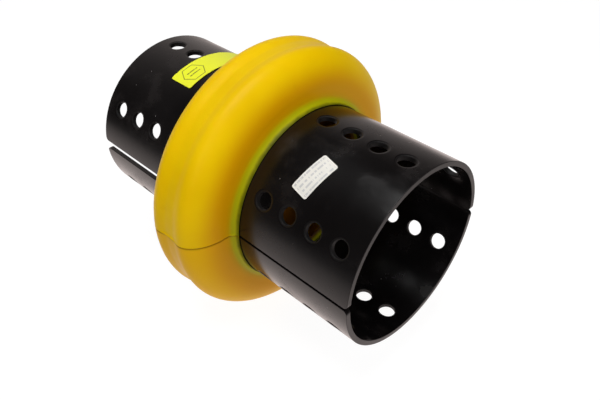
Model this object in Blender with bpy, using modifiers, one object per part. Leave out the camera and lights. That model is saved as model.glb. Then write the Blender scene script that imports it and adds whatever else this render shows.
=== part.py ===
"""Split spacer element of a tyre-type shaft coupling.

Two polyurethane half tyres are each bonded to a pair of half-round steel shoes. The shoes are drilled in
rows, so that they can be screwed to a hub at each end at several shaft spacings.

Frame: metres, origin on the shaft axis at the middle of the tyre, +X along the shaft towards the front
shoes, +Z up through the upper half. The halves part on the XY plane.
"""
import math

import bmesh
import bpy
from mathutils import Matrix, Vector

# Steel shoes
SHOE_RADIUS = 0.0603
SHOE_WALL = 0.0033
HALF_LENGTH = 0.1138
SHOE_INNER_END = 0.0200
CORNER_RADIUS = 0.0028
FRONT_EDGE_SETBACK = 0.0008
REAR_EDGE_SETBACK = 0.0030

# Screw holes
HOLE_DIAMETER = 0.0106
FIRST_HOLE = 0.0142
HOLE_PITCH = 0.01905
HOLES_PER_ROW = 4
ROW_ANGLES = (30.0, 90.0, 150.0)

# Polyurethane tyre
CREST_RADIUS = 0.0916
CREST_OFFSET = 0.0100
GROOVE_DEPTH = 0.0010
WAIST_RADIUS = 0.0697
WAIST_HALF_WIDTH = 0.0244
SHOULDER_POWER = 1.84
TYRE_WALL = 0.0078
FOOT_END = 0.0290
FOOT_EDGE = 0.0008
LIP_END = 0.0235
LIP_THICKNESS = 0.0014
TYRE_EDGE_SETBACK = 0.0002
INNER_CREST_OFFSET = CREST_OFFSET / 3
INNER_WAIST_RADIUS = WAIST_RADIUS - TYRE_WALL / 2

# Labels, given by the middle, the angle about the shaft, the size and the turn on the surface
ID_LABEL = {"x": 0.0630, "angle": 124.1, "along": 0.0125, "around": 0.0255, "turn": -13.0}
CAUTION_LABEL = {"x": -0.0628, "angle": 84.0, "along": 0.0195, "around": 0.0680, "turn": 0.0}
LABEL_THICKNESS = 0.0003
LABEL_CELL = 0.004

# Finishes
BLACK_PAINT = {"color": (0.012, 0.011, 0.011), "roughness": 0.3}
YELLOW_POLYURETHANE = {"color": (0.75, 0.46, 0.01), "roughness": 0.35}
WHITE_PAPER = {"color": (0.80, 0.80, 0.78), "roughness": 0.5}
YELLOW_FILM = {"color": (0.85, 0.95, 0.03), "roughness": 0.45}

# Gaps between pieces, and how finely round shapes are divided
CLEARANCE = 0.0003
STEPS = 48
HOLE_SIDES = 16
CORNER_SEGMENTS = 3
OUTER_SHOULDER_POINTS = 7
INNER_SHOULDER_POINTS = 5
FILLET_POINTS = 3
SMOOTH_ANGLE = 35.0
WELD = 0.00001


def clear_scene():
    for scene_object in list(bpy.data.objects):
        bpy.data.objects.remove(scene_object)


def new_collection(name):
    collection = bpy.data.collections.new(name)
    bpy.context.scene.collection.children.link(collection)
    return collection


def new_material(name, color, roughness):
    material = bpy.data.materials.new(name)
    material.use_nodes = True
    shader = material.node_tree.nodes["Principled BSDF"]
    shader.inputs["Base Color"].default_value = (*color, 1.0)
    shader.inputs["Roughness"].default_value = roughness
    material.diffuse_color = (*color, 1.0)
    return material


def place(name, mesh, collection, material=None):
    placed = bpy.data.objects.new(name, mesh)
    collection.objects.link(placed)
    if material:
        mesh.materials.append(material)
    return placed


def shade(mesh):
    mesh.shade_smooth()
    mesh.set_sharp_from_angle(angle=math.radians(SMOOTH_ANGLE))


def turned_mesh(name, outline):
    """A closed outline of (distance along X, radius) points, turned once round the X axis."""
    profile = bpy.data.meshes.new(name + "_profile")
    points = [(radius, 0.0, along) for along, radius in outline]
    edges = [(i, (i + 1) % len(points)) for i in range(len(points))]
    profile.from_pydata(points, edges, [])
    blank = bpy.data.objects.new(name + "_blank", profile)
    bpy.context.scene.collection.objects.link(blank)
    screw = blank.modifiers.new("Turn", "SCREW")
    screw.steps = STEPS
    screw.render_steps = STEPS
    screw.use_merge_vertices = True
    screw.merge_threshold = WELD
    graph = bpy.context.evaluated_depsgraph_get()
    mesh = bpy.data.meshes.new_from_object(blank.evaluated_get(graph))
    bpy.data.objects.remove(blank)
    mesh.transform(Matrix.Rotation(math.radians(90.0), 4, "Y"))
    return mesh


def keep_half(mesh, side, setback):
    """Keeps the half above (side 1) or below (side -1) the split plane, and closes the cut."""
    work = bmesh.new()
    work.from_mesh(mesh)
    bmesh.ops.remove_doubles(work, verts=work.verts, dist=WELD)
    cut = bmesh.ops.bisect_plane(
        work,
        geom=work.verts[:] + work.edges[:] + work.faces[:],
        plane_co=(0.0, 0.0, side * setback),
        plane_no=(0.0, 0.0, side),
        clear_inner=True,
        dist=WELD,
    )
    rim = [item for item in cut["geom_cut"] if isinstance(item, bmesh.types.BMEdge)]
    bmesh.ops.edgenet_fill(work, edges=rim)
    bmesh.ops.recalc_face_normals(work, faces=work.faces)
    work.to_mesh(mesh)
    work.free()


def mark_corners(mesh, end_x, side, setback):
    """Gives a bevel weight to the short edges where a shoe's end meets its split faces."""
    weights = mesh.attributes.new("bevel_weight_edge", "FLOAT", "EDGE")
    for edge in mesh.edges:
        ends = [mesh.vertices[index].co for index in edge.vertices]
        at_end = all(abs(point.x - end_x) < WELD for point in ends)
        at_split = all(abs(point.z - side * setback) < WELD for point in ends)
        weights.data[edge.index].value = 1.0 if at_end and at_split else 0.0


def hole_cutter(name, end, side, collection):
    """All the screw holes of one shoe, as separate radial bars in one cutter."""
    work = bmesh.new()
    reach = 2.0 * SHOE_WALL
    for angle in ROW_ANGLES:
        turn = math.radians(side * angle)
        out = Vector((0.0, math.cos(turn), math.sin(turn)))
        tilt = out.to_track_quat("Z", "X").to_matrix().to_4x4()
        for number in range(HOLES_PER_ROW):
            x = end * (HALF_LENGTH - FIRST_HOLE - number * HOLE_PITCH)
            middle = Vector((x, 0.0, 0.0)) + out * (SHOE_RADIUS - SHOE_WALL / 2)
            bmesh.ops.create_cone(
                work,
                cap_ends=True,
                segments=HOLE_SIDES,
                radius1=HOLE_DIAMETER / 2,
                radius2=HOLE_DIAMETER / 2,
                depth=2.0 * reach,
                matrix=Matrix.Translation(middle) @ tilt,
            )
    mesh = bpy.data.meshes.new(name)
    work.to_mesh(mesh)
    work.free()
    cutter = place(name, mesh, collection)
    cutter.hide_render = True
    cutter.display_type = "WIRE"
    return cutter


def make_shoe(name, end, side, parts, cutters, material):
    """A half-round shoe at the front (end 1) or rear (end -1), above (side 1) or below the split."""
    setback = FRONT_EDGE_SETBACK if end > 0 else REAR_EDGE_SETBACK
    inner = SHOE_RADIUS - SHOE_WALL
    near, far = sorted((end * SHOE_INNER_END, end * HALF_LENGTH))
    outline = [(near, inner), (far, inner), (far, SHOE_RADIUS), (near, SHOE_RADIUS)]
    mesh = turned_mesh(name, outline)
    keep_half(mesh, side, setback)
    mark_corners(mesh, end * HALF_LENGTH, side, setback)
    shade(mesh)
    shoe = place(name, mesh, parts, material)
    corners = shoe.modifiers.new("Round corners", "BEVEL")
    corners.limit_method = "WEIGHT"
    corners.width = CORNER_RADIUS
    corners.segments = CORNER_SEGMENTS
    holes = shoe.modifiers.new("Screw holes", "BOOLEAN")
    holes.object = hole_cutter(name + "_holes", end, side, cutters)
    holes.solver = "EXACT"
    return shoe


def shoulder(crest, waist, count):
    """Points from a crest down to a waist, on a quarter of a superellipse; both are (along, radius)."""
    points = []
    for number in range(count + 1):
        turn = math.pi / 2 * number / count
        along = crest[0] + (waist[0] - crest[0]) * math.sin(turn) ** (2.0 / SHOULDER_POWER)
        radius = waist[1] + (crest[1] - waist[1]) * math.cos(turn) ** (2.0 / SHOULDER_POWER)
        points.append((along, radius))
    return points


def fillet(flank, radius, foot_radius):
    """A hollow quarter round from the flank out to the edge of the foot."""
    middle = (flank + radius, foot_radius + radius)
    turns = [math.pi / 2 * number / FILLET_POINTS for number in range(FILLET_POINTS + 1)]
    return [(middle[0] - radius * math.cos(turn), middle[1] - radius * math.sin(turn)) for turn in turns]


def tyre_outline():
    """The wall of the tyre, cut through its axis, as one closed outline."""
    seat = SHOE_RADIUS + CLEARANCE
    bore = SHOE_RADIUS - SHOE_WALL - CLEARANCE
    flank = WAIST_HALF_WIDTH - TYRE_WALL
    crown = CREST_RADIUS - GROOVE_DEPTH - TYRE_WALL
    outer = shoulder(
        (CREST_OFFSET, CREST_RADIUS), (WAIST_HALF_WIDTH, WAIST_RADIUS), OUTER_SHOULDER_POINTS
    )
    outer += fillet(WAIST_HALF_WIDTH, FOOT_END - WAIST_HALF_WIDTH, seat + FOOT_EDGE)
    foot = [
        (FOOT_END, seat),
        (SHOE_INNER_END - CLEARANCE, seat),
        (SHOE_INNER_END - CLEARANCE, bore),
        (LIP_END, bore),
        (LIP_END, bore - LIP_THICKNESS),
        (flank, bore - LIP_THICKNESS),
    ]
    inner = shoulder((INNER_CREST_OFFSET, crown), (flank, INNER_WAIST_RADIUS), INNER_SHOULDER_POINTS)
    half = outer + foot + inner[::-1]
    mirrored = [(-along, radius) for along, radius in reversed(half)]
    return [(0.0, CREST_RADIUS - GROOVE_DEPTH)] + half + mirrored


def make_tyre_half(name, side, parts, material):
    mesh = turned_mesh(name, tyre_outline())
    keep_half(mesh, side, TYRE_EDGE_SETBACK)
    shade(mesh)
    return place(name, mesh, parts, material)


def make_label(name, label, parts, material):
    """A thin rectangle wrapped on the outside of a shoe."""
    columns = round(label["around"] / LABEL_CELL)
    work = bmesh.new()
    grid = bmesh.ops.create_grid(work, x_segments=2, y_segments=columns, size=0.5)
    turn = Matrix.Rotation(math.radians(label["turn"]), 2)
    base = SHOE_RADIUS + CLEARANCE
    for vert in grid["verts"]:
        flat = turn @ Vector((vert.co.x * label["along"], vert.co.y * label["around"]))
        angle = math.radians(label["angle"]) - flat.y / SHOE_RADIUS
        vert.co = (label["x"] + flat.x, base * math.cos(angle), base * math.sin(angle))
    mesh = bpy.data.meshes.new(name)
    work.to_mesh(mesh)
    work.free()
    shade(mesh)
    paper = place(name, mesh, parts, material)
    sheet = paper.modifiers.new("Thickness", "SOLIDIFY")
    sheet.thickness = LABEL_THICKNESS
    sheet.offset = 1.0
    return paper


def main():
    clear_scene()
    parts = new_collection("tyre_coupling_spacer_element")
    cutters = new_collection("cutters")
    steel = new_material("black_painted_steel", **BLACK_PAINT)
    rubber = new_material("yellow_polyurethane", **YELLOW_POLYURETHANE)
    white = new_material("white_label", **WHITE_PAPER)
    yellow = new_material("yellow_label", **YELLOW_FILM)
    for end_name, end in (("front", 1), ("rear", -1)):
        for side_name, side in (("upper", 1), ("lower", -1)):
            make_shoe(f"{end_name}_{side_name}_shoe", end, side, parts, cutters, steel)
    make_tyre_half("tyre_upper_half", 1, parts, rubber)
    make_tyre_half("tyre_lower_half", -1, parts, rubber)
    make_label("identification_label", ID_LABEL, parts, white)
    make_label("caution_label", CAUTION_LABEL, parts, yellow)


main()
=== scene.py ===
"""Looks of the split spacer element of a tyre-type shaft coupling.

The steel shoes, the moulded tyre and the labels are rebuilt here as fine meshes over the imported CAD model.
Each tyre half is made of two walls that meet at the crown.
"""
import math

import bmesh
import bpy
from mathutils import Matrix, Quaternion, Vector
from mathutils.geometry import delaunay_2d_cdt, intersect_point_line


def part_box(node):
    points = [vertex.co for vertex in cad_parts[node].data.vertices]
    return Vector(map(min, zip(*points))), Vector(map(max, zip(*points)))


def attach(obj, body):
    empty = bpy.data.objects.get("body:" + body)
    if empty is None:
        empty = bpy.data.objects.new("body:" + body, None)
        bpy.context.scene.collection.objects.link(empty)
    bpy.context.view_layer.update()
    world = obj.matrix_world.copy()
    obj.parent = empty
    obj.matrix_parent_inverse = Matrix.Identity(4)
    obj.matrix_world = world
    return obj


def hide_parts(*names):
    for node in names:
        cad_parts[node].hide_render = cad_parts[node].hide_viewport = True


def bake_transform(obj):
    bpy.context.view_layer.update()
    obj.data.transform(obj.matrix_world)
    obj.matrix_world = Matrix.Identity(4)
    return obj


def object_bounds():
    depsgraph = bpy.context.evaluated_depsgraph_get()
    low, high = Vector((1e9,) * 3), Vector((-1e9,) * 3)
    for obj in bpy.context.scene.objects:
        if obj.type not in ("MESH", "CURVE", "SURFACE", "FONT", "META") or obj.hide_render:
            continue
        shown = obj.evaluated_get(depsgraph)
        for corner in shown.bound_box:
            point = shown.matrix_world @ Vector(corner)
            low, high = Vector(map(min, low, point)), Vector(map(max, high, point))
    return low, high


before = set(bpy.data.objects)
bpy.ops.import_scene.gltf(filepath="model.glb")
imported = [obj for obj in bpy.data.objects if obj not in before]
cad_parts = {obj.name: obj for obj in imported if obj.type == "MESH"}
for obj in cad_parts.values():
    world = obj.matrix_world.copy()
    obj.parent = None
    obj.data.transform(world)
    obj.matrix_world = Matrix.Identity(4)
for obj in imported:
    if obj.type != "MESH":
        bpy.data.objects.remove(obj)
cad_low, cad_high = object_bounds()

# Camera: where it aims, from how far, from which side, and its lens
CAMERA_AIM = Vector((0.0181, 0.0027, -0.0135))
CAMERA_DISTANCE = 0.4384
CAMERA_AZIMUTH = 43.91
CAMERA_ELEVATION = 38.33
CAMERA_ROLL = 0.69
CAMERA_LENS = 39.01

# Shoes
SHOE_WALL = 0.0033
CORNER_RADIUS = 0.0028
EDGE_ROUNDING = 0.00035
HOLE_RADIUS = 0.0053
RING_RADIUS = 0.0066
RING_DEPTH = 0.0004
RING_MARGIN = 0.0005
FIRST_HOLE = 0.0142
HOLE_PITCH = 0.01905
HOLES_PER_ROW = 4
ROW_ANGLES = (30.0, 90.0, 150.0)
CELL_STEPS = 12
CUT_AT_RIM = 0.3

# Tyre wall
CREST_OFFSET = 0.0100
GROOVE_DEPTH = 0.0014
GROOVE_FLAT = 0.0025
WAIST_RADIUS = 0.0697
WAIST_HALF_WIDTH = 0.0244
SHOULDER_POWER = 1.84
TYRE_WALL = 0.0078
FOOT_EDGE = 0.0003
LIP_END = 0.0235
LIP_THICKNESS = 0.0014
CLEARANCE = 0.0003
SPLIT_SETBACK = 0.0001
SPLIT_ROUNDING = 0.0006
FLASH_HEIGHT = 0.0002
FLASH_AT_FOOT = 0.0013
FLASH_REACH = 0.0016
FLASH_IN_GROOVE = 0.6
LIP_CHAMFER = 0.002
COVER_EASED = 0.004
COVER_THIN = 0.0062
# Painted shade on the tyre's flank and waist: how far below the crest it starts, and the depth over which it
# reaches full.
WAIST_SHADE_START = 0.0045
WAIST_SHADE_DEPTH = 0.0145
# Painted shade on the tyre's inner surfaces: its share at the crown, and the distance over which it grows to
# full.
INSIDE_AT_CROWN = 0.25
INSIDE_REACH = 0.014
# Painted shadow along the split line: how far from the split it reaches on the upper (1) and lower (-1)
# half.
SPLIT_SHADOW_REACH = {1: 0.0008, -1: 0.0016}

# How finely a tyre wall is divided: heights of the sections by the split, then turns about the shaft
SPLIT_PLANES = (0.0, 0.00003, 0.0001, 0.0002, 0.00035, 0.0005, 0.0007, 0.0009, 0.0012, 0.0016)
FIRST_TURN = 2.4
TYRE_TURNS = 120
GROOVE_POINTS = 16
SHOULDER_POINTS = 30
FILLET_POINTS = 14
SEAT_POINTS = 6
INSIDE_POINTS = 18
CAP_STEP = 0.0015
CAP_MARGIN = 0.45

# Labels: the middle, the angle about the shaft, the size, the turn on the surface and the corner radius
ID_LABEL = {"x": 0.0645, "angle": 124.8, "along": 0.0125, "around": 0.0255, "turn": -13.0,
            "corner": 0.0012}
CAUTION_LABEL = {"x": -0.0628, "angle": 84.0, "along": 0.0195, "around": 0.0680, "turn": 0.0,
                 "corner": 0.0014}
LABEL_LIFT = 0.00035
LABEL_THICKNESS = 0.00022
LABEL_CELL = 0.0011

# The yellow label's six-sided outline and dashes, in millimetres from the label's middle
SIGN_MIDDLE = -22.0
SIGN_HALF_WIDTH = 7.2

# Lamps: direction, distance, size and power; the fills aren't seen in reflections
KEY_LAMP = ((0.03, -0.17, 0.98), 1.0, 0.60, 7.0)
FILL_LAMPS = {
    "side_fill": ((0.30, -0.80, 0.45), 1.2, 0.80, 4.5),
    "front_fill": ((0.90, 0.15, 0.40), 1.2, 0.80, 5.0),
}

# Floor and backdrop
FLOOR_SIZE = 12.0
FLOOR_DROP = 0.0002
BACKDROP_DIRECTION = (-0.94, 0.34, 0.0)

WELD = 0.000005


# Meshes

def place(name, mesh, material):
    piece = bpy.data.objects.new(name, mesh)
    bpy.context.scene.collection.objects.link(piece)
    mesh.materials.append(material)
    return piece


def finish_mesh(name, work):
    """Welds, turns the faces outward and gives the mesh smooth shading with sharp edges kept."""
    bmesh.ops.remove_doubles(work, verts=work.verts, dist=WELD)
    bmesh.ops.recalc_face_normals(work, faces=work.faces)
    mesh = bpy.data.meshes.new(name)
    work.to_mesh(mesh)
    work.free()
    mesh.shade_smooth()
    return mesh


def applied(name, piece, material):
    """The piece as the viewport evaluates it, with its modifiers applied."""
    graph = bpy.context.evaluated_depsgraph_get()
    mesh = bpy.data.meshes.new_from_object(piece.evaluated_get(graph))
    mesh.materials.clear()
    bpy.data.objects.remove(piece)
    return place(name, mesh, material)


def spread(marks, step):
    """Values from the first mark to the last, through every mark, no further apart than a step."""
    values = [marks[0]]
    for low, high in zip(marks, marks[1:]):
        count = max(1, math.ceil((high - low) / step - 0.001))
        values += [low + (high - low) * number / count for number in range(1, count + 1)]
    return values


def round_corner(across, along, size):
    """Maps a square cell of that size onto a quarter disc, so that its outer corner is rounded."""
    u, v = across / size, along / size
    return across * math.sqrt(1 - v * v / 2), along * math.sqrt(1 - u * u / 2)


class Shoe:
    """A drilled plate, laid out flat as (distance along, arc length) and wrapped round the shaft."""

    def __init__(self, node, end, side):
        low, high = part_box(node)
        self.end, self.side = end, side
        self.radius = max(abs(low.z), abs(high.z))
        self.start, self.stop = sorted((abs(low.x), abs(high.x)))
        self.setback = min(abs(low.z), abs(high.z))
        self.length = self.stop - self.start
        self.edge_angle = math.asin(self.setback / self.radius)
        self.width = self.radius * (math.pi - 2 * self.edge_angle)
        self.work = bmesh.new()

    def arc(self, degrees):
        """Arc length of an angle about the shaft, from the plate's first edge."""
        return self.radius * (math.radians(degrees) - self.edge_angle)

    def point(self, along, arc, radius):
        """The flat plate's point (along, arc), wrapped at that radius."""
        half = math.pi / 2
        outer_half = half - self.edge_angle
        half_here = half - math.asin(self.setback / radius)
        angle = half + (arc / self.radius - outer_half) * half_here / outer_half
        x = self.end * (self.start + along)
        return Vector((x, radius * math.cos(angle), self.side * radius * math.sin(angle)))

    def bend(self, along, arc):
        """Rounds the two corners at the plate's outer end."""
        size = CORNER_RADIUS
        past = along - (self.length - size)
        for edge, sign in ((0.0, -1.0), (self.width, 1.0)):
            beyond = sign * (arc - edge) + size
            if past > 0 and beyond > 0:
                past, beyond = round_corner(past, beyond, size)
                return self.length - size + past, edge + sign * (beyond - size)
        return along, arc

    def holes(self):
        for degrees in ROW_ANGLES:
            for number in range(HOLES_PER_ROW):
                yield self.length - FIRST_HOLE - number * HOLE_PITCH, self.arc(degrees)

    def build(self, name, material):
        half_cell = HOLE_PITCH / 2
        step = HOLE_PITCH / CELL_STEPS
        last = self.length - FIRST_HOLE + half_cell
        first = last - HOLES_PER_ROW * HOLE_PITCH
        columns = [first + number * HOLE_PITCH for number in range(HOLES_PER_ROW + 1)]
        along = spread([0.0, *columns, self.length - CORNER_RADIUS], step)
        along += spread([self.length - CORNER_RADIUS, self.length], CORNER_RADIUS / 4)[1:]
        rows = [edge for degrees in ROW_ANGLES
                for edge in (self.arc(degrees) - half_cell, self.arc(degrees) + half_cell)]
        across = spread([0.0, CORNER_RADIUS], CORNER_RADIUS / 4)
        across += spread([CORNER_RADIUS, *rows, self.width - CORNER_RADIUS], step)[1:]
        across += spread([self.width - CORNER_RADIUS, self.width], CORNER_RADIUS / 4)[1:]
        flat = {}
        for i, a in enumerate(along):
            for j, b in enumerate(across):
                flat[i, j] = (*self.bend(a, b), 0.0)
        faces, cells = [], {}
        for i in range(len(along) - 1):
            for j in range(len(across) - 1):
                middle = ((along[i] + along[i + 1]) / 2, (across[j] + across[j + 1]) / 2)
                hole = next((h for h in self.holes()
                             if max(abs(h[0] - middle[0]), abs(h[1] - middle[1])) < half_cell), None)
                if hole:
                    cells.setdefault(hole, []).append((i, j))
                else:
                    faces.append(((i, j), (i + 1, j), (i + 1, j + 1), (i, j + 1)))
        for hole, members in cells.items():
            self.add_rings(hole, members, flat, faces)
        self.wrap(flat, faces)
        mesh = finish_mesh(name, self.work)
        blank = place(name + "_blank", mesh, material)
        rounding = blank.modifiers.new("Rounded edges", "BEVEL")
        rounding.width = EDGE_ROUNDING
        rounding.segments = 3
        rounding.limit_method = "ANGLE"
        rounding.angle_limit = math.radians(40.0)
        rounding.harden_normals = True
        return applied(name, blank, material)

    def add_rings(self, hole, members, flat, faces):
        """Fills the square cell round a hole with rings that turn from a circle into the square."""
        low_i, high_i = min(i for i, j in members), max(i for i, j in members) + 1
        low_j, high_j = min(j for i, j in members), max(j for i, j in members) + 1
        border = [(i, low_j) for i in range(low_i, high_i)]
        border += [(high_i, j) for j in range(low_j, high_j)]
        border += [(i, high_j) for i in range(high_i, low_i, -1)]
        border += [(low_i, j) for j in range(high_j, low_j, -1)]
        count = len(border)
        outside = RING_RADIUS + RING_MARGIN
        rings = [(HOLE_RADIUS, 0.0, RING_DEPTH), (RING_RADIUS, 0.0, 0.0),
                 (outside, 0.0, 0.0), (outside, 0.4, 0.0), (outside, 0.75, 0.0)]
        keys = []
        for number, (radius, share, depth) in enumerate(rings):
            ring = []
            for k, corner in enumerate(border):
                turn = math.radians(-135.0) + 2 * math.pi * k / count
                a = hole[0] + radius * math.cos(turn)
                b = hole[1] + radius * math.sin(turn)
                square = flat[corner]
                key = (hole, number, k)
                flat[key] = (a + (square[0] - a) * share, b + (square[1] - b) * share, depth)
                ring.append(key)
            keys.append(ring)
        keys.append(border)
        for inner, outer in zip(keys, keys[1:]):
            for k in range(count):
                after = (k + 1) % count
                faces.append((inner[k], outer[k], outer[after], inner[after]))

    def wrap(self, flat, faces):
        """Makes the outer and inner surfaces from the flat layout, and the walls between their borders."""
        inner_radius = self.radius - SHOE_WALL
        cut = self.work.verts.layers.float.new("cut_edge")
        outer, inner = {}, {}
        for key, (along, arc, depth) in flat.items():
            if len(key) == 2 and self.in_cell(along, arc):
                continue
            outer[key] = self.work.verts.new(self.point(along, arc, self.radius - depth))
            inner[key] = self.work.verts.new(self.point(along, arc, inner_radius))
            at_rim = along > self.length - WELD
            outer[key][cut] = inner[key][cut] = 1.0 if depth > 0 else CUT_AT_RIM if at_rim else 0.0
        sides = {}  # a dict and not a set, to keep the order
        for face in faces:
            self.work.faces.new([outer[key] for key in face])
            self.work.faces.new([inner[key] for key in reversed(face)])
            for a, b in zip(face, face[1:] + face[:1]):
                sides[a, b] = True
        for a, b in sides:
            if (b, a) not in sides:
                self.work.faces.new((outer[a], inner[a], inner[b], outer[b]))

    def in_cell(self, along, arc):
        """True well inside a hole's cell, where the grid's own points aren't used."""
        reach = HOLE_PITCH / 2 - HOLE_PITCH / CELL_STEPS / 2
        return any(max(abs(along - h[0]), abs(arc - h[1])) < reach for h in self.holes())


def quarter(crest, waist, count):
    """Points from a crest down to a waist, on a quarter of a superellipse; both are (along, radius)."""
    points = []
    for number in range(count + 1):
        turn = math.pi / 2 * number / count
        along = crest[0] + (waist[0] - crest[0]) * math.sin(turn) ** (2.0 / SHOULDER_POWER)
        radius = waist[1] + (crest[1] - waist[1]) * math.cos(turn) ** (2.0 / SHOULDER_POWER)
        points.append((along, radius))
    return points


def tyre_section(crest_radius, foot_end, shoe_radius, shoe_start):
    """Half of the tyre's wall cut through its axis, as one closed outline of (along, radius) points.

    Each point also has its share of the split edge's rounding, how far the moulding flash stands out there,
    how thin the skin is, and how much of an inner surface it is.
    """
    seat = shoe_radius + CLEARANCE
    bore = shoe_radius - SHOE_WALL - CLEARANCE
    groove, flash = [], []
    for number in range(GROOVE_POINTS + 1):
        along = CREST_OFFSET * number / GROOVE_POINTS
        rise = max(0.0, (along - GROOVE_FLAT) / (CREST_OFFSET - GROOVE_FLAT))
        drop = GROOVE_DEPTH * (1 - rise * rise * (3 - 2 * rise))
        groove.append((along, crest_radius - drop))
        flash.append(FLASH_HEIGHT + FLASH_IN_GROOVE * drop)
    shoulder = quarter(groove[-1], (WAIST_HALF_WIDTH, WAIST_RADIUS), SHOULDER_POINTS)[1:]
    flash += [FLASH_HEIGHT] * len(shoulder)
    reach = foot_end - WAIST_HALF_WIDTH
    fillet = []
    for number in range(1, FILLET_POINTS + 1):
        turn = math.pi / 2 * number / FILLET_POINTS
        flash.append(FLASH_HEIGHT + (FLASH_AT_FOOT - FLASH_HEIGHT) * math.sin(2 * turn) ** 2)
        fillet.append((WAIST_HALF_WIDTH + reach * (1 - math.cos(turn)),
                       seat + FOOT_EDGE + reach * (1 - math.sin(turn))))
    start = shoe_start - CLEARANCE
    seat_points = [(foot_end - (foot_end - start) * number / SEAT_POINTS, seat)
                   for number in range(SEAT_POINTS + 1)]
    flank = WAIST_HALF_WIDTH - TYRE_WALL
    lip = bore - LIP_THICKNESS
    lip_points = [(start, bore), (LIP_END, bore), (LIP_END, lip),
                  (flank + LIP_CHAMFER, lip), (flank, lip + LIP_CHAMFER)]
    crown = crest_radius - GROOVE_DEPTH - TYRE_WALL
    cavity = quarter((CREST_OFFSET / 3, crown), (flank, WAIST_RADIUS - TYRE_WALL / 2), INSIDE_POINTS)[::-1]
    hidden = seat_points + lip_points + cavity + [(0.0, crown)]
    outline = groove + shoulder + fillet + hidden
    flash += [0.0] * len(hidden)
    # How much of an inner surface each point is; the colour uses it to paint shade on the inside.
    inner = [0.0] * (len(outline) - len(hidden))
    inner += [min(1.0, INSIDE_AT_CROWN + along / INSIDE_REACH) for along, radius in hidden]
    weights, thin = [], []
    for along, radius in outline:
        cover = max(0.0, radius - seat)
        near_foot = along > WAIST_HALF_WIDTH - 0.001 and radius < WAIST_RADIUS
        on_seat = radius <= seat + WELD and along > start - WELD
        weights.append(0.0 if on_seat else min(1.0, cover / COVER_EASED) if near_foot else 1.0)
        thin.append(max(0.0, 1.0 - cover / COVER_THIN) if along > WAIST_HALF_WIDTH - 0.004 else 0.0)
    return outline, weights, flash, thin, inner


def drawn_in(outline, shifts):
    """The outline with each point moved inward by its shift; the crown end stays on x = 0."""
    count = len(outline)
    moved = []
    for index, (along, radius) in enumerate(outline):
        shift = shifts[index]
        if along < WELD:
            moved.append((0.0, radius - shift if index == 0 else radius + shift))
            continue
        before, after = outline[index - 1], outline[(index + 1) % count]
        run = Vector((after[0] - before[0], after[1] - before[1])).normalized()
        moved.append((max(0.0, along + run.y * shift), radius - run.x * shift))
    return moved


def cap_layout(outline):
    """Small triangles that fill a closed outline: the points added inside, and triples of point numbers.

    They are kept small.
    """
    corners = [Vector(point) for point in outline]
    edges = list(zip(corners, corners[1:] + corners[:1]))

    def is_inside(spot):
        crossings = 0
        for one, other in edges:
            if (one.y > spot.y) != (other.y > spot.y):
                crossings += spot.x < one.x + (spot.y - one.y) / (other.y - one.y) * (other.x - one.x)
        return crossings % 2 == 1

    def is_clear(spot):
        for one, other in edges:
            share = intersect_point_line(spot, one, other)[1]
            near = one.lerp(other, min(1.0, max(0.0, share)))
            if (near - spot).length < CAP_STEP * CAP_MARGIN:
                return False
        return True

    widest = max(point.x for point in corners)
    lowest, highest = min(point.y for point in corners), max(point.y for point in corners)
    added = []
    for column in range(1, int(widest / CAP_STEP) + 1):
        for row in range(int((highest - lowest) / CAP_STEP) + 1):
            spot = Vector((column * CAP_STEP, lowest + (row + 0.5 * (column % 2)) * CAP_STEP))
            if is_inside(spot) and is_clear(spot):
                added.append(spot)
    border = [list(range(len(corners)))]
    _, _, triangles, origins, _, _ = delaunay_2d_cdt(corners + added, [], border, 1, 1e-7)
    return added, [[origins[index][0] for index in triangle] for triangle in triangles]


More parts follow.
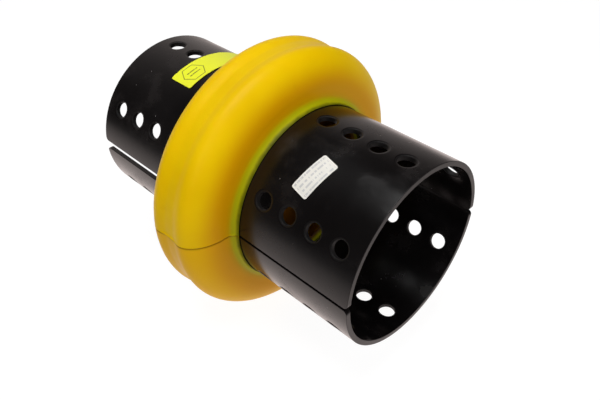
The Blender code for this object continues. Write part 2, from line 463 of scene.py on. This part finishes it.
def tyre_wall(name, node, end, side, material):
    """One wall of a tyre half, from the crown to the front (end 1) or rear (end -1) foot."""
    low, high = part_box(node)
    shoe_low, shoe_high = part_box("front_upper_shoe")
    crest = max(abs(low.z), abs(high.z))
    outline, weights, flash, thin, inner = tyre_section(crest, high.x, shoe_high.z, shoe_low.x)
    work = bmesh.new()
    skin = work.verts.layers.float.new("thin_skin")
    near_split_shade = work.verts.layers.float.new("near_split_shade")
    waist_shade = work.verts.layers.float.new("waist_shade")
    inside = work.verts.layers.float.new("inside")
    lower = work.verts.layers.float.new("lower_half_shade")
    first_turn = math.radians(FIRST_TURN)
    half_turns = [first_turn + (math.pi - 2 * first_turn) * number / TYRE_TURNS
                  for number in range(TYRE_TURNS + 1)]

    def tyre_vert(along, radius, place_point):
        vert = work.verts.new(place_point(along, radius))
        # Marks the lower half, whose colour is darkened and made more orange as painted shade on the
        # downward-facing half.
        vert[lower] = 0.0 if side > 0 else 1.0
        # Painted shade share: 0 near the crest, rising to 1 further down the flank and waist.
        vert[waist_shade] = min(1.0, max(0.0, (crest - WAIST_SHADE_START - radius) / WAIST_SHADE_DEPTH))
        return vert

    def section(points, place_point, nearness, inner_share=1.0):
        made = []
        for (along, radius), thinness, inwards in zip(points, thin, inner):
            vert = tyre_vert(along, radius, place_point)
            vert[skin] = thinness
            # Painted shade share for the inner surfaces, faded out next to the split faces.
            vert[inside] = inwards * inner_share
            vert[near_split_shade] = nearness
            made.append(vert)
        return made

    def on_plane(away, sign):
        def place_point(along, radius):
            z = SPLIT_SETBACK + away
            y = sign * math.sqrt(radius * radius - z * z)
            return Vector((end * along, y, side * z))
        return place_point

    def at_turn(turn):
        def place_point(along, radius):
            return Vector((end * along, radius * math.cos(turn), side * radius * math.sin(turn)))
        return place_point

    def rounded(away):
        left = max(0.0, SPLIT_ROUNDING - away)
        return SPLIT_ROUNDING - math.sqrt(SPLIT_ROUNDING ** 2 - left ** 2)

    def near_split_section(away, sign):
        fade = max(0.0, 1 - away / FLASH_REACH) ** 1.5 if side > 0 else 0.0
        shifts = [rounded(away) * weight - stands * fade for weight, stands in zip(weights, flash)]
        # Painted shadow share: 1 at the split, 0 past the reach, and 0 on the split plane itself.
        nearness = max(0.0, 1 - away / SPLIT_SHADOW_REACH[side]) if away else 0.0
        inner_share = away / SPLIT_PLANES[-1]
        return section(drawn_in(outline, shifts), on_plane(away, sign), nearness, inner_share)

    sections = [near_split_section(away, 1.0) for away in SPLIT_PLANES]
    sections += [section(outline, at_turn(turn), 0.0) for turn in half_turns]
    sections += [near_split_section(away, -1.0) for away in reversed(SPLIT_PLANES)]
    count = len(outline)
    for one, other in zip(sections, sections[1:]):
        for index in range(count):
            after = (index + 1) % count
            work.faces.new((one[index], one[after], other[after], other[index]))
    added, triangles = cap_layout(drawn_in(outline, [rounded(0.0) * weight for weight in weights]))
    for cap, sign in ((sections[0], 1.0), (sections[-1], -1.0)):
        verts = cap + [tyre_vert(*spot, on_plane(0.0, sign)) for spot in added]
        for triangle in triangles:
            work.faces.new([verts[index] for index in triangle])
    mesh = finish_mesh(name, work)
    mesh.set_sharp_from_angle(angle=math.radians(50.0))
    return place(name, mesh, material)


def label_mesh(name, label, radius, material):
    """A thin rectangle with rounded corners, wrapped on the outside of a shoe."""
    length, width, corner = label["along"], label["around"], label["corner"]
    lines, columns = (max(8, round(measure / LABEL_CELL)) for measure in (length, width))
    work = bmesh.new()
    flat_map = work.loops.layers.uv.new("flat")
    turn = Matrix.Rotation(math.radians(label["turn"]), 2)
    cells = {}
    flat_u, flat_v = length / 2 - corner, width / 2 - corner
    for i in range(lines + 1):
        for j in range(columns + 1):
            u = length * (i / lines - 0.5)
            v = width * (j / columns - 0.5)
            past_u, past_v = abs(u) - flat_u, abs(v) - flat_v
            if past_u > 0 and past_v > 0:
                past_u, past_v = round_corner(past_u, past_v, corner)
                u = math.copysign(flat_u + past_u, u)
                v = math.copysign(flat_v + past_v, v)
            cells[i, j] = (u, v)
    verts = {}
    for key, (u, v) in cells.items():
        flat = turn @ Vector((u, v))
        angle = math.radians(label["angle"]) - flat.y / radius
        x = label["x"] + flat.x
        verts[key] = work.verts.new((x, radius * math.cos(angle), radius * math.sin(angle)))
    for i in range(lines):
        for j in range(columns):
            keys = ((i, j), (i + 1, j), (i + 1, j + 1), (i, j + 1))
            face = work.faces.new([verts[key] for key in keys])
            for loop, key in zip(face.loops, keys):
                u, v = cells[key]
                loop[flat_map].uv = (u / length + 0.5, v / width + 0.5)
    for face in work.faces:
        face.normal_update()
        if face.normal.dot(Vector((0.0, *face.calc_center_median().yz))) < 0:
            face.normal_flip()
    mesh = bpy.data.meshes.new(name)
    work.to_mesh(mesh)
    work.free()
    mesh.shade_smooth()
    blank = place(name + "_blank", mesh, material)
    sheet = blank.modifiers.new("Thickness", "SOLIDIFY")
    sheet.thickness = LABEL_THICKNESS
    sheet.offset = 1.0
    made = applied(name, blank, material)
    made.data.set_sharp_from_angle(angle=math.radians(50.0))
    return made


# Materials

class Nodes:
    """Short ways to add nodes to a material's or the world's node tree."""

    def __init__(self, tree):
        self.tree = tree

    def add(self, kind, inputs=None, **settings):
        node = self.tree.nodes.new("ShaderNode" + kind)
        for key, value in settings.items():
            setattr(node, key, value)
        for key, value in (inputs or {}).items():
            self.put(value, node.inputs[key])
        return node

    def put(self, value, socket):
        if isinstance(value, bpy.types.NodeSocket):
            self.tree.links.new(value, socket)
        else:
            socket.default_value = value

    def math(self, operation, *values, clamp=False):
        return self.add("Math", dict(enumerate(values)), operation=operation, use_clamp=clamp).outputs[0]

    def position(self):
        return self.add("TexCoord").outputs["Object"]

    def axes(self, vector):
        return self.add("SeparateXYZ", {0: vector}).outputs

    def noise(self, vector, scale, detail=2.0, roughness=0.5):
        inputs = {"Vector": vector, "Scale": scale, "Detail": detail, "Roughness": roughness}
        return self.add("TexNoise", inputs).outputs["Fac"]

    def band(self, value, start, stop):
        """0 below start and 1 above stop, smooth between; start may be the larger."""
        inputs = {"Value": value, "From Min": start, "From Max": stop}
        return self.add("MapRange", inputs, interpolation_type="SMOOTHSTEP").outputs["Result"]

    def ramp(self, value, start, stop):
        """0 at start and 1 at stop, straight between and level beyond; start may be the larger."""
        return self.add("MapRange", {"Value": value, "From Min": start, "From Max": stop}).outputs["Result"]

    def mix(self, share, one, other):
        node = self.add("Mix", data_type="RGBA")
        self.put(share, node.inputs["Factor"])
        self.put(one, node.inputs[6])
        self.put(other, node.inputs[7])
        return node.outputs[2]

    def choose(self, share, one, other):
        """The value one where the share is 0, and the other where it is 1."""
        return self.add("Mix", {"Factor": share, 2: one, 3: other}, data_type="FLOAT").outputs[0]

    def attribute(self, name):
        return self.add("Attribute", attribute_name=name).outputs["Fac"]


class Material(Nodes):
    """A Principled material."""

    def __init__(self, name, **sockets):
        self.material = bpy.data.materials.new(name)
        self.material.use_nodes = True
        super().__init__(self.material.node_tree)
        self.shader = self.tree.nodes["Principled BSDF"]
        for socket, value in sockets.items():
            self.shader.inputs[socket.replace("_", " ")].default_value = value

    def bump(self, *layers):
        """Stacks (height, strength, distance) layers and joins them to the shader."""
        normal = None
        for height, strength, distance in layers:
            inputs = {"Height": height, "Strength": strength, "Distance": distance}
            node = self.add("Bump", inputs)
            if normal:
                self.put(normal, node.inputs["Normal"])
            normal = node.outputs["Normal"]
        self.put(normal, self.shader.inputs["Normal"])

    def set(self, socket, value):
        self.put(value, self.shader.inputs[socket])


def rgba(red, green, blue):
    return (red, green, blue, 1.0)


def black_paint():
    """Gloss black enamel: faint orange peel, uneven gloss, dust specks and chipped edges."""
    m = Material("black_enamel_on_steel", Specular_IOR_Level=0.375)
    position = m.position()
    broad = m.noise(position, 26.0, 3.0)
    fine = m.noise(position, 900.0, 2.0)
    smudge = m.band(m.noise(position, 55.0, 4.0, 0.6), 0.50, 0.72)
    tone = m.mix(m.band(broad, 0.35, 0.7), rgba(0.0028, 0.0024, 0.0025), rgba(0.0046, 0.0040, 0.0043))
    tone = m.mix(m.math("MULTIPLY", smudge, 0.5), tone, rgba(0.0115, 0.0100, 0.0100))
    edge = m.add("NewGeometry").outputs["Pointiness"]
    chips = m.noise(position, 330.0, 4.0, 0.65)
    worn = m.math("MULTIPLY", m.band(edge, 0.54, 0.62), m.band(chips, 0.60, 0.68), clamp=True)
    cells = m.add("TexVoronoi", {"Vector": position, "Scale": 260.0}).outputs
    speck = m.math("MULTIPLY", m.band(cells["Distance"], 0.13, 0.08),
                   m.band(m.axes(cells["Color"])[0], 0.950, 0.954), clamp=True)
    speck = m.math("MULTIPLY", speck, m.band(broad, 0.42, 0.58), clamp=True)
    color = m.mix(worn, tone, rgba(0.16, 0.155, 0.15))
    color = m.mix(m.math("MULTIPLY", speck, 0.6), color, rgba(0.24, 0.23, 0.22))
    m.set("Base Color", color)
    gloss = m.math("MULTIPLY_ADD", broad, 0.16, 0.13)
    gloss = m.math("MULTIPLY_ADD", smudge, 0.10, gloss)
    gloss = m.math("MULTIPLY_ADD", m.attribute("cut_edge"), 0.40, gloss)
    gloss = m.math("MULTIPLY_ADD", worn, 0.25, gloss)
    gloss = m.math("MULTIPLY_ADD", speck, 0.3, gloss)
    m.set("Roughness", gloss)
    m.bump((m.noise(position, 60.0, 2.0), 0.10, 0.0004), (fine, 0.10, 0.00004), (worn, -0.3, 0.00008))
    return m.material


def polyurethane():
    """Cast golden polyurethane: waxy, slightly cloudy, green and thin where it feathers onto black paint;
    painted shade darkens the lower half, the waist and the inner surfaces, and a painted shadow runs along
    the split.
    """
    m = Material("golden_polyurethane", Specular_IOR_Level=0.085, Subsurface_Weight=0.15,
                 Subsurface_Scale=0.004, Subsurface_Radius=(1.0, 0.55, 0.12))
    position = m.position()
    cloud = m.noise(position, 22.0, 3.0)
    fine = m.noise(position, 700.0, 3.0)
    tone = m.mix(m.band(cloud, 0.3, 0.7), rgba(0.770, 0.485, 0.0), rgba(0.830, 0.540, 0.001))
    # Painted shade: the whole lower tyre half is tinted darker and more orange than the upper half.
    tone = m.mix(m.math("MULTIPLY", m.attribute("lower_half_shade"), 0.8), tone, rgba(0.770, 0.430, 0.0))
    # Painted shade: the flank and waist below the crest are made darker and more orange.
    tone = m.mix(m.band(m.attribute("waist_shade"), 0.0, 1.0), tone, rgba(0.720, 0.345, 0.0))
    # Painted shade: the tyre's inner surfaces, seen through the holes and the bore, are darkened to brown.
    tone = m.mix(m.math("MULTIPLY", m.attribute("inside"), 0.96), tone, rgba(0.11, 0.036, 0.0))
    stretched = m.add("Mapping", {"Vector": position, "Scale": (0.6, 1.0, 1.0)}).outputs[0]
    scuff = m.noise(stretched, 75.0, 5.0, 0.6)
    tone = m.mix(m.math("MULTIPLY", m.band(scuff, 0.62, 0.8), 0.2), tone, rgba(0.56, 0.30, 0.004))
    thin = m.attribute("thin_skin")
    ragged = m.math("ADD", thin, m.math("MULTIPLY_ADD", m.noise(position, 160.0, 3.0), 0.10, -0.05))
    green = m.mix(m.band(ragged, 0.05, 0.75), tone, rgba(0.380, 0.370, 0.002))
    dark = m.mix(m.band(ragged, 0.80, 1.0), green, rgba(0.055, 0.060, 0.002))
    # Painted shadow: a brown band along both sides of the split line, wider on the lower half.
    split_shadow = m.math("POWER", m.attribute("near_split_shade"), 1.6)
    m.set("Base Color", m.mix(m.math("MULTIPLY", split_shadow, 0.75), dark, rgba(0.20, 0.085, 0.002)))
    m.set("Roughness", m.math("MULTIPLY_ADD", cloud, 0.14, 0.34))
    m.bump((m.noise(position, 38.0, 2.0), 0.12, 0.0012), (fine, 0.08, 0.00005))
    return m.material


def stroke(m, value, middle, half_width, blur=0.25):
    """1 where a value is within half_width of the middle, with soft sides."""
    away = m.math("ABSOLUTE", m.math("SUBTRACT", value, middle))
    return m.band(away, half_width * (1 + blur), half_width * (1 - blur))


def white_label():
    """White paper with rows of plain grey dashes."""
    m = Material("white_paper_label", Roughness=0.5)
    position = m.position()
    flat = m.axes(m.add("UVMap", uv_map="flat").outputs[0])
    along, around = flat[0], flat[1]
    rows = m.math("FRACT", m.math("MULTIPLY", along, 4.0))
    row_number = m.math("FLOOR", m.math("MULTIPLY", along, 4.0))
    dash_place = m.add("CombineXYZ", {0: m.math("MULTIPLY", around, 19.0),
                                      1: m.math("MULTIPLY", row_number, 7.3)})
    dashes = m.band(m.noise(dash_place.outputs[0], 1.0, 1.0), 0.42, 0.50)
    ink = m.math("MULTIPLY", stroke(m, rows, 0.5, 0.20), dashes, clamp=True)
    printed = m.math("MULTIPLY", stroke(m, along, 0.5, 0.44, 0.02),
                     stroke(m, around, 0.5, 0.45, 0.02), clamp=True)
    ink = m.math("MULTIPLY", ink, m.math("MULTIPLY", printed, 0.38), clamp=True)
    paper = m.mix(m.noise(position, 240.0, 4.0), rgba(0.72, 0.71, 0.66), rgba(0.86, 0.85, 0.80))
    m.set("Base Color", m.mix(ink, paper, rgba(0.20, 0.22, 0.30)))
    m.bump((m.noise(position, 1500.0, 3.0), 0.15, 0.00005))
    return m.material


def yellow_label():
    """Fluorescent film with a plain six-sided outline and two short lines of dashes."""
    m = Material("yellow_film_label", Roughness=0.42)
    position = m.position()
    flat = m.axes(m.add("UVMap", uv_map="flat").outputs[0])
    along = m.math("MULTIPLY", m.math("SUBTRACT", flat[0], 0.5), CAUTION_LABEL["along"] * 1000.0)
    around = m.math("MULTIPLY", m.math("SUBTRACT", flat[1], 0.5), CAUTION_LABEL["around"] * 1000.0)
    film = m.mix(m.noise(position, 90.0, 3.0), rgba(0.92, 0.97, 0.020), rgba(0.86, 0.91, 0.028))
    side = m.math("ABSOLUTE", along)
    tip = m.math("ABSOLUTE", m.math("SUBTRACT", around, SIGN_MIDDLE))
    slant = m.math("ADD", m.math("MULTIPLY", tip, 0.866), m.math("MULTIPLY", side, 0.5))
    hexagon = m.math("MAXIMUM", side, slant)
    outline = stroke(m, hexagon, SIGN_HALF_WIDTH, 0.27)
    bars = stroke(m, side, 1.6, 0.5)
    bars = m.math("MULTIPLY", bars, m.band(tip, 4.6, 4.2), clamp=True)
    gaps = m.band(m.noise(m.add("CombineXYZ", {0: around}).outputs[0], 1.3, 1.0), 0.40, 0.48)
    ink = m.math("MAXIMUM", outline, m.math("MULTIPLY", bars, gaps))
    m.set("Base Color", m.mix(m.math("MULTIPLY", ink, 0.82), film, rgba(0.06, 0.065, 0.015)))
    m.bump((m.noise(position, 400.0, 2.0), 0.10, 0.0001))
    return m.material


# Scene

def add_camera():
    azimuth, elevation = math.radians(CAMERA_AZIMUTH), math.radians(CAMERA_ELEVATION)
    back = Vector((math.sin(azimuth) * math.cos(elevation), -math.cos(azimuth) * math.cos(elevation),
                   math.sin(elevation)))
    camera = bpy.data.objects.new("camera", bpy.data.cameras.new("camera"))
    bpy.context.scene.collection.objects.link(camera)
    camera.data.lens = CAMERA_LENS
    camera.data.clip_start = 0.01
    camera.rotation_mode = "QUATERNION"
    roll = Quaternion((0.0, 0.0, 1.0), math.radians(CAMERA_ROLL))
    camera.rotation_quaternion = (-back).to_track_quat("-Z", "Y") @ roll
    camera.location = CAMERA_AIM + back * CAMERA_DISTANCE
    bpy.context.scene.camera = camera


def add_area_light(name, direction, distance, size, power):
    """A square lamp that faces the middle of the object."""
    data = bpy.data.lights.new(name, "AREA")
    data.size = size
    data.energy = power
    lamp = bpy.data.objects.new(name, data)
    bpy.context.scene.collection.objects.link(lamp)
    toward = Vector(direction).normalized()
    lamp.location = toward * distance
    lamp.rotation_mode = "QUATERNION"
    lamp.rotation_quaternion = (-toward).to_track_quat("-Z", "Y")
    return lamp


def add_floor():
    """A pale light table: plain to the camera, and brightest behind the object to everything else."""
    bpy.ops.mesh.primitive_grid_add(x_subdivisions=1, y_subdivisions=1, size=FLOOR_SIZE)
    floor = bpy.context.object
    floor.name = "floor"
    floor.location.z = cad_low.z - FLOOR_DROP
    m = Material("pale_floor")
    position = m.position()
    across = m.axes(position)
    spot = m.add("VectorMath", {0: position}, operation="LENGTH").outputs["Value"]
    glow = m.math("MULTIPLY", m.ramp(across[1], -0.48, -0.06), m.ramp(across[0], 0.42, 0.06))
    glow = m.math("MULTIPLY", glow, m.math("MULTIPLY_ADD", m.ramp(spot, 0.35, 1.00), -0.55, 1.0))
    glow = m.math("MULTIPLY_ADD", glow, 1.08, 0.05)
    ray = m.add("LightPath").outputs
    glow = m.math("MULTIPLY", glow, m.math("MULTIPLY_ADD", ray["Is Diffuse Ray"], -0.36, 1.0))
    warm = m.mix(ray["Is Camera Ray"], rgba(1.0, 0.86, 0.82), rgba(1.0, 1.0, 1.0))
    seen = m.choose(ray["Is Camera Ray"], glow, 0.93)
    light = m.add("Emission", {"Color": warm, "Strength": seen})
    matte = m.add("BsdfDiffuse", {"Color": rgba(0.15, 0.15, 0.15)})
    both = m.add("AddShader", {0: light.outputs[0], 1: matte.outputs[0]})
    output = m.tree.nodes["Material Output"]
    m.tree.links.new(both.outputs[0], output.inputs["Surface"])
    floor.data.materials.append(m.material)


def add_world():
    """A dark studio with a pale backdrop low behind the object; the camera itself sees plain white."""
    world = bpy.data.worlds.new("studio")
    bpy.context.scene.world = world
    world.use_nodes = True
    nodes = Nodes(world.node_tree)
    background = world.node_tree.nodes["Background"]
    ray = nodes.add("TexCoord").outputs["Generated"]
    low = nodes.band(nodes.axes(ray)[2], 0.95, 0.45)
    behind = nodes.add("VectorMath", {0: ray, 1: BACKDROP_DIRECTION}, operation="DOT_PRODUCT")
    sheet = nodes.math("MULTIPLY", low, nodes.band(behind.outputs["Value"], 0.58, 0.80))
    glow = nodes.math("MULTIPLY_ADD", sheet, 0.50, 0.06)
    camera_ray = nodes.add("LightPath").outputs["Is Camera Ray"]
    tint = nodes.mix(camera_ray, rgba(1.0, 0.88, 0.84), rgba(1.0, 1.0, 1.0))
    nodes.put(tint, background.inputs["Color"])
    nodes.put(nodes.choose(camera_ray, glow, 0.95), background.inputs["Strength"])


def main():
    paint, rubber = black_paint(), polyurethane()
    paper, film = white_label(), yellow_label()
    for end_name, end in (("front", 1), ("rear", -1)):
        for side_name, side in (("upper", 1), ("lower", -1)):
            node = f"{end_name}_{side_name}_shoe"
            shoe = Shoe(node, end, side).build(node + "_steel", paint)
            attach(shoe, f"{end_name}_{side_name}")
            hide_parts(node)
    for side_name, side in (("upper", 1), ("lower", -1)):
        node = f"tyre_{side_name}_half"
        for end_name, end in (("front", 1), ("rear", -1)):
            wall = tyre_wall(f"tyre_{side_name}_{end_name}_wall", node, end, side, rubber)
            if end > 0:
                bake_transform(wall)
            else:
                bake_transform(wall)
            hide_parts(node)
    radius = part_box("front_upper_shoe")[1].z + LABEL_LIFT
    tag = label_mesh("white_label_paper", ID_LABEL, radius, paper)
    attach(tag, "front_upper")
    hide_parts("identification_label")
    tag = label_mesh("yellow_label_film", CAUTION_LABEL, radius, film)
    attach(tag, "rear_upper")
    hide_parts("caution_label")
    add_camera()
    add_floor()
    add_world()
    add_area_light("key_softbox", *KEY_LAMP)
    for name, lamp in FILL_LAMPS.items():
        add_area_light(name, *lamp).visible_glossy = False
    bpy.context.scene.view_settings.view_transform = "Standard"


main()
